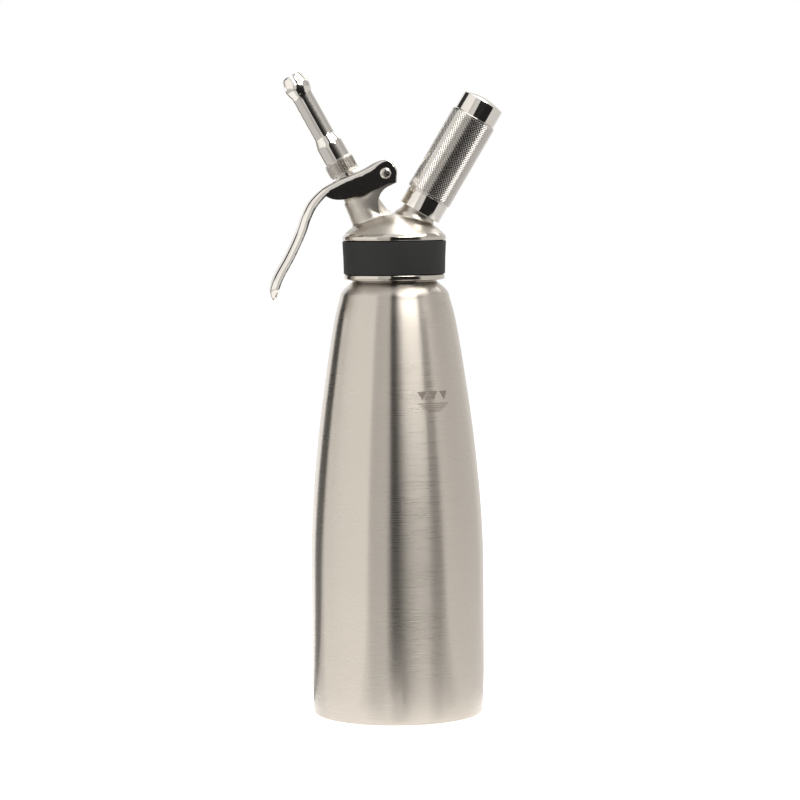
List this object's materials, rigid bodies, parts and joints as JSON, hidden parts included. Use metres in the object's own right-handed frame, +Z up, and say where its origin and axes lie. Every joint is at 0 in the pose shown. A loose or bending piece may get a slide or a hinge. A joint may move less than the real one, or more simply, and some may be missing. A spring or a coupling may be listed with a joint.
{
  "type": "whipped cream dispenser",
  "caption": "Tall steel pressure bottle with a screw-on cast head, squeeze lever valve, slotted decorating tip and knurled gas charger holder.",
  "frame": {"origin": "centre of the flat underside of the bottle", "axes": "+Z up along the bottle's axis, -X towards the lever and the decorating tip, +X towards the charger holder"},
  "size_m": [0.1261, 0.0934, 0.3466],
  "materials": {
    "satin_steel": "satin, brushed round the axis",
    "cast_steel": "satin blasted casting",
    "polished_steel": "mirror polished",
    "knurled_steel": "knurled",
    "charger_steel": "plated",
    "spring_steel": "drawn wire",
    "black_silicone": "matte",
    "red_silicone": "matte"
  },
  "bodies": {
    "bottle": {"bottle": "satin_steel"},
    "gasket": {"head_gasket": "red_silicone"},
    "head": {"head": "cast_steel", "grip_band": "black_silicone", "pivot_screw": "polished_steel", "pivot_nut": "polished_steel", "valve_spring": "spring_steel", "piercing_pin": "polished_steel", "pin_bush": "polished_steel", "charger_seal": "black_silicone", "check_valve": "red_silicone"},
    "lever": {"lever": "polished_steel"},
    "valve": {"valve_stem": "polished_steel", "valve_seal": "black_silicone", "stem_o_ring": "black_silicone", "stem_collar": "polished_steel", "tip_adapter": "polished_steel"},
    "tip_washer": {"tip_seal": "red_silicone"},
    "tip": {"tip_ring": "knurled_steel", "decorator_tip": "polished_steel"},
    "charger": {"gas_charger": "charger_steel"},
    "holder": {"holder_core": "polished_steel", "holder_sleeve": "knurled_steel", "holder_cap": "polished_steel"}
  },
  "joints": [
    {"name": "head_rise", "type": "slide", "parent": "bottle", "child": "gasket", "axis": [0, 0, 1], "range_m": [0, 0.01001]},
    {"name": "head_turn", "type": "hinge", "parent": "gasket", "child": "head", "pos_m": [0, 0, 0.25], "axis": [0, 0, 1], "range_deg": [0, 900]},
    {"name": "lever_pivot", "type": "hinge", "parent": "head", "child": "lever", "pos_m": [-0.00423, 0, 0.29196], "axis": [0, -1, 0], "range_deg": [0, 9.5], "stiffness_Nm_per_rad": 2.2, "springref_deg": -4.58},
    {"name": "valve_slide", "type": "slide", "parent": "head", "child": "valve", "axis": [0.4796, 0, -0.8775], "range_m": [0, 0.0032], "deforming": ["valve_spring"]},
    {"name": "tip_rise", "type": "slide", "parent": "valve", "child": "tip_washer", "axis": [-0.4796, 0, 0.8775], "range_m": [0, 0.00401]},
    {"name": "tip_turn", "type": "hinge", "parent": "tip_washer", "child": "tip", "pos_m": [-0.02782, 0, 0.29545], "axis": [-0.4796, 0, 0.8775], "range_deg": [0, 1440]},
    {"name": "charger_rise", "type": "slide", "parent": "head", "child": "charger", "axis": [0.511, 0, 0.8596], "range_m": [0, 0.0091]},
    {"name": "holder_turn", "type": "hinge", "parent": "charger", "child": "holder", "pos_m": [0.03066, 0, 0.29951], "axis": [0.511, 0, 0.8596], "range_deg": [0, 2160]}
  ],
  "couplings": [
    {"joint": "head_rise", "follows": "head_turn", "m_per_rad": 0.00063662},
    {"joint": "valve_slide", "follows": "lever_pivot", "m_per_rad": 0.019},
    {"joint": "tip_rise", "follows": "tip_turn", "m_per_rad": 0.00015915},
    {"joint": "charger_rise", "follows": "holder_turn", "m_per_rad": 0.00023873}
  ]
}
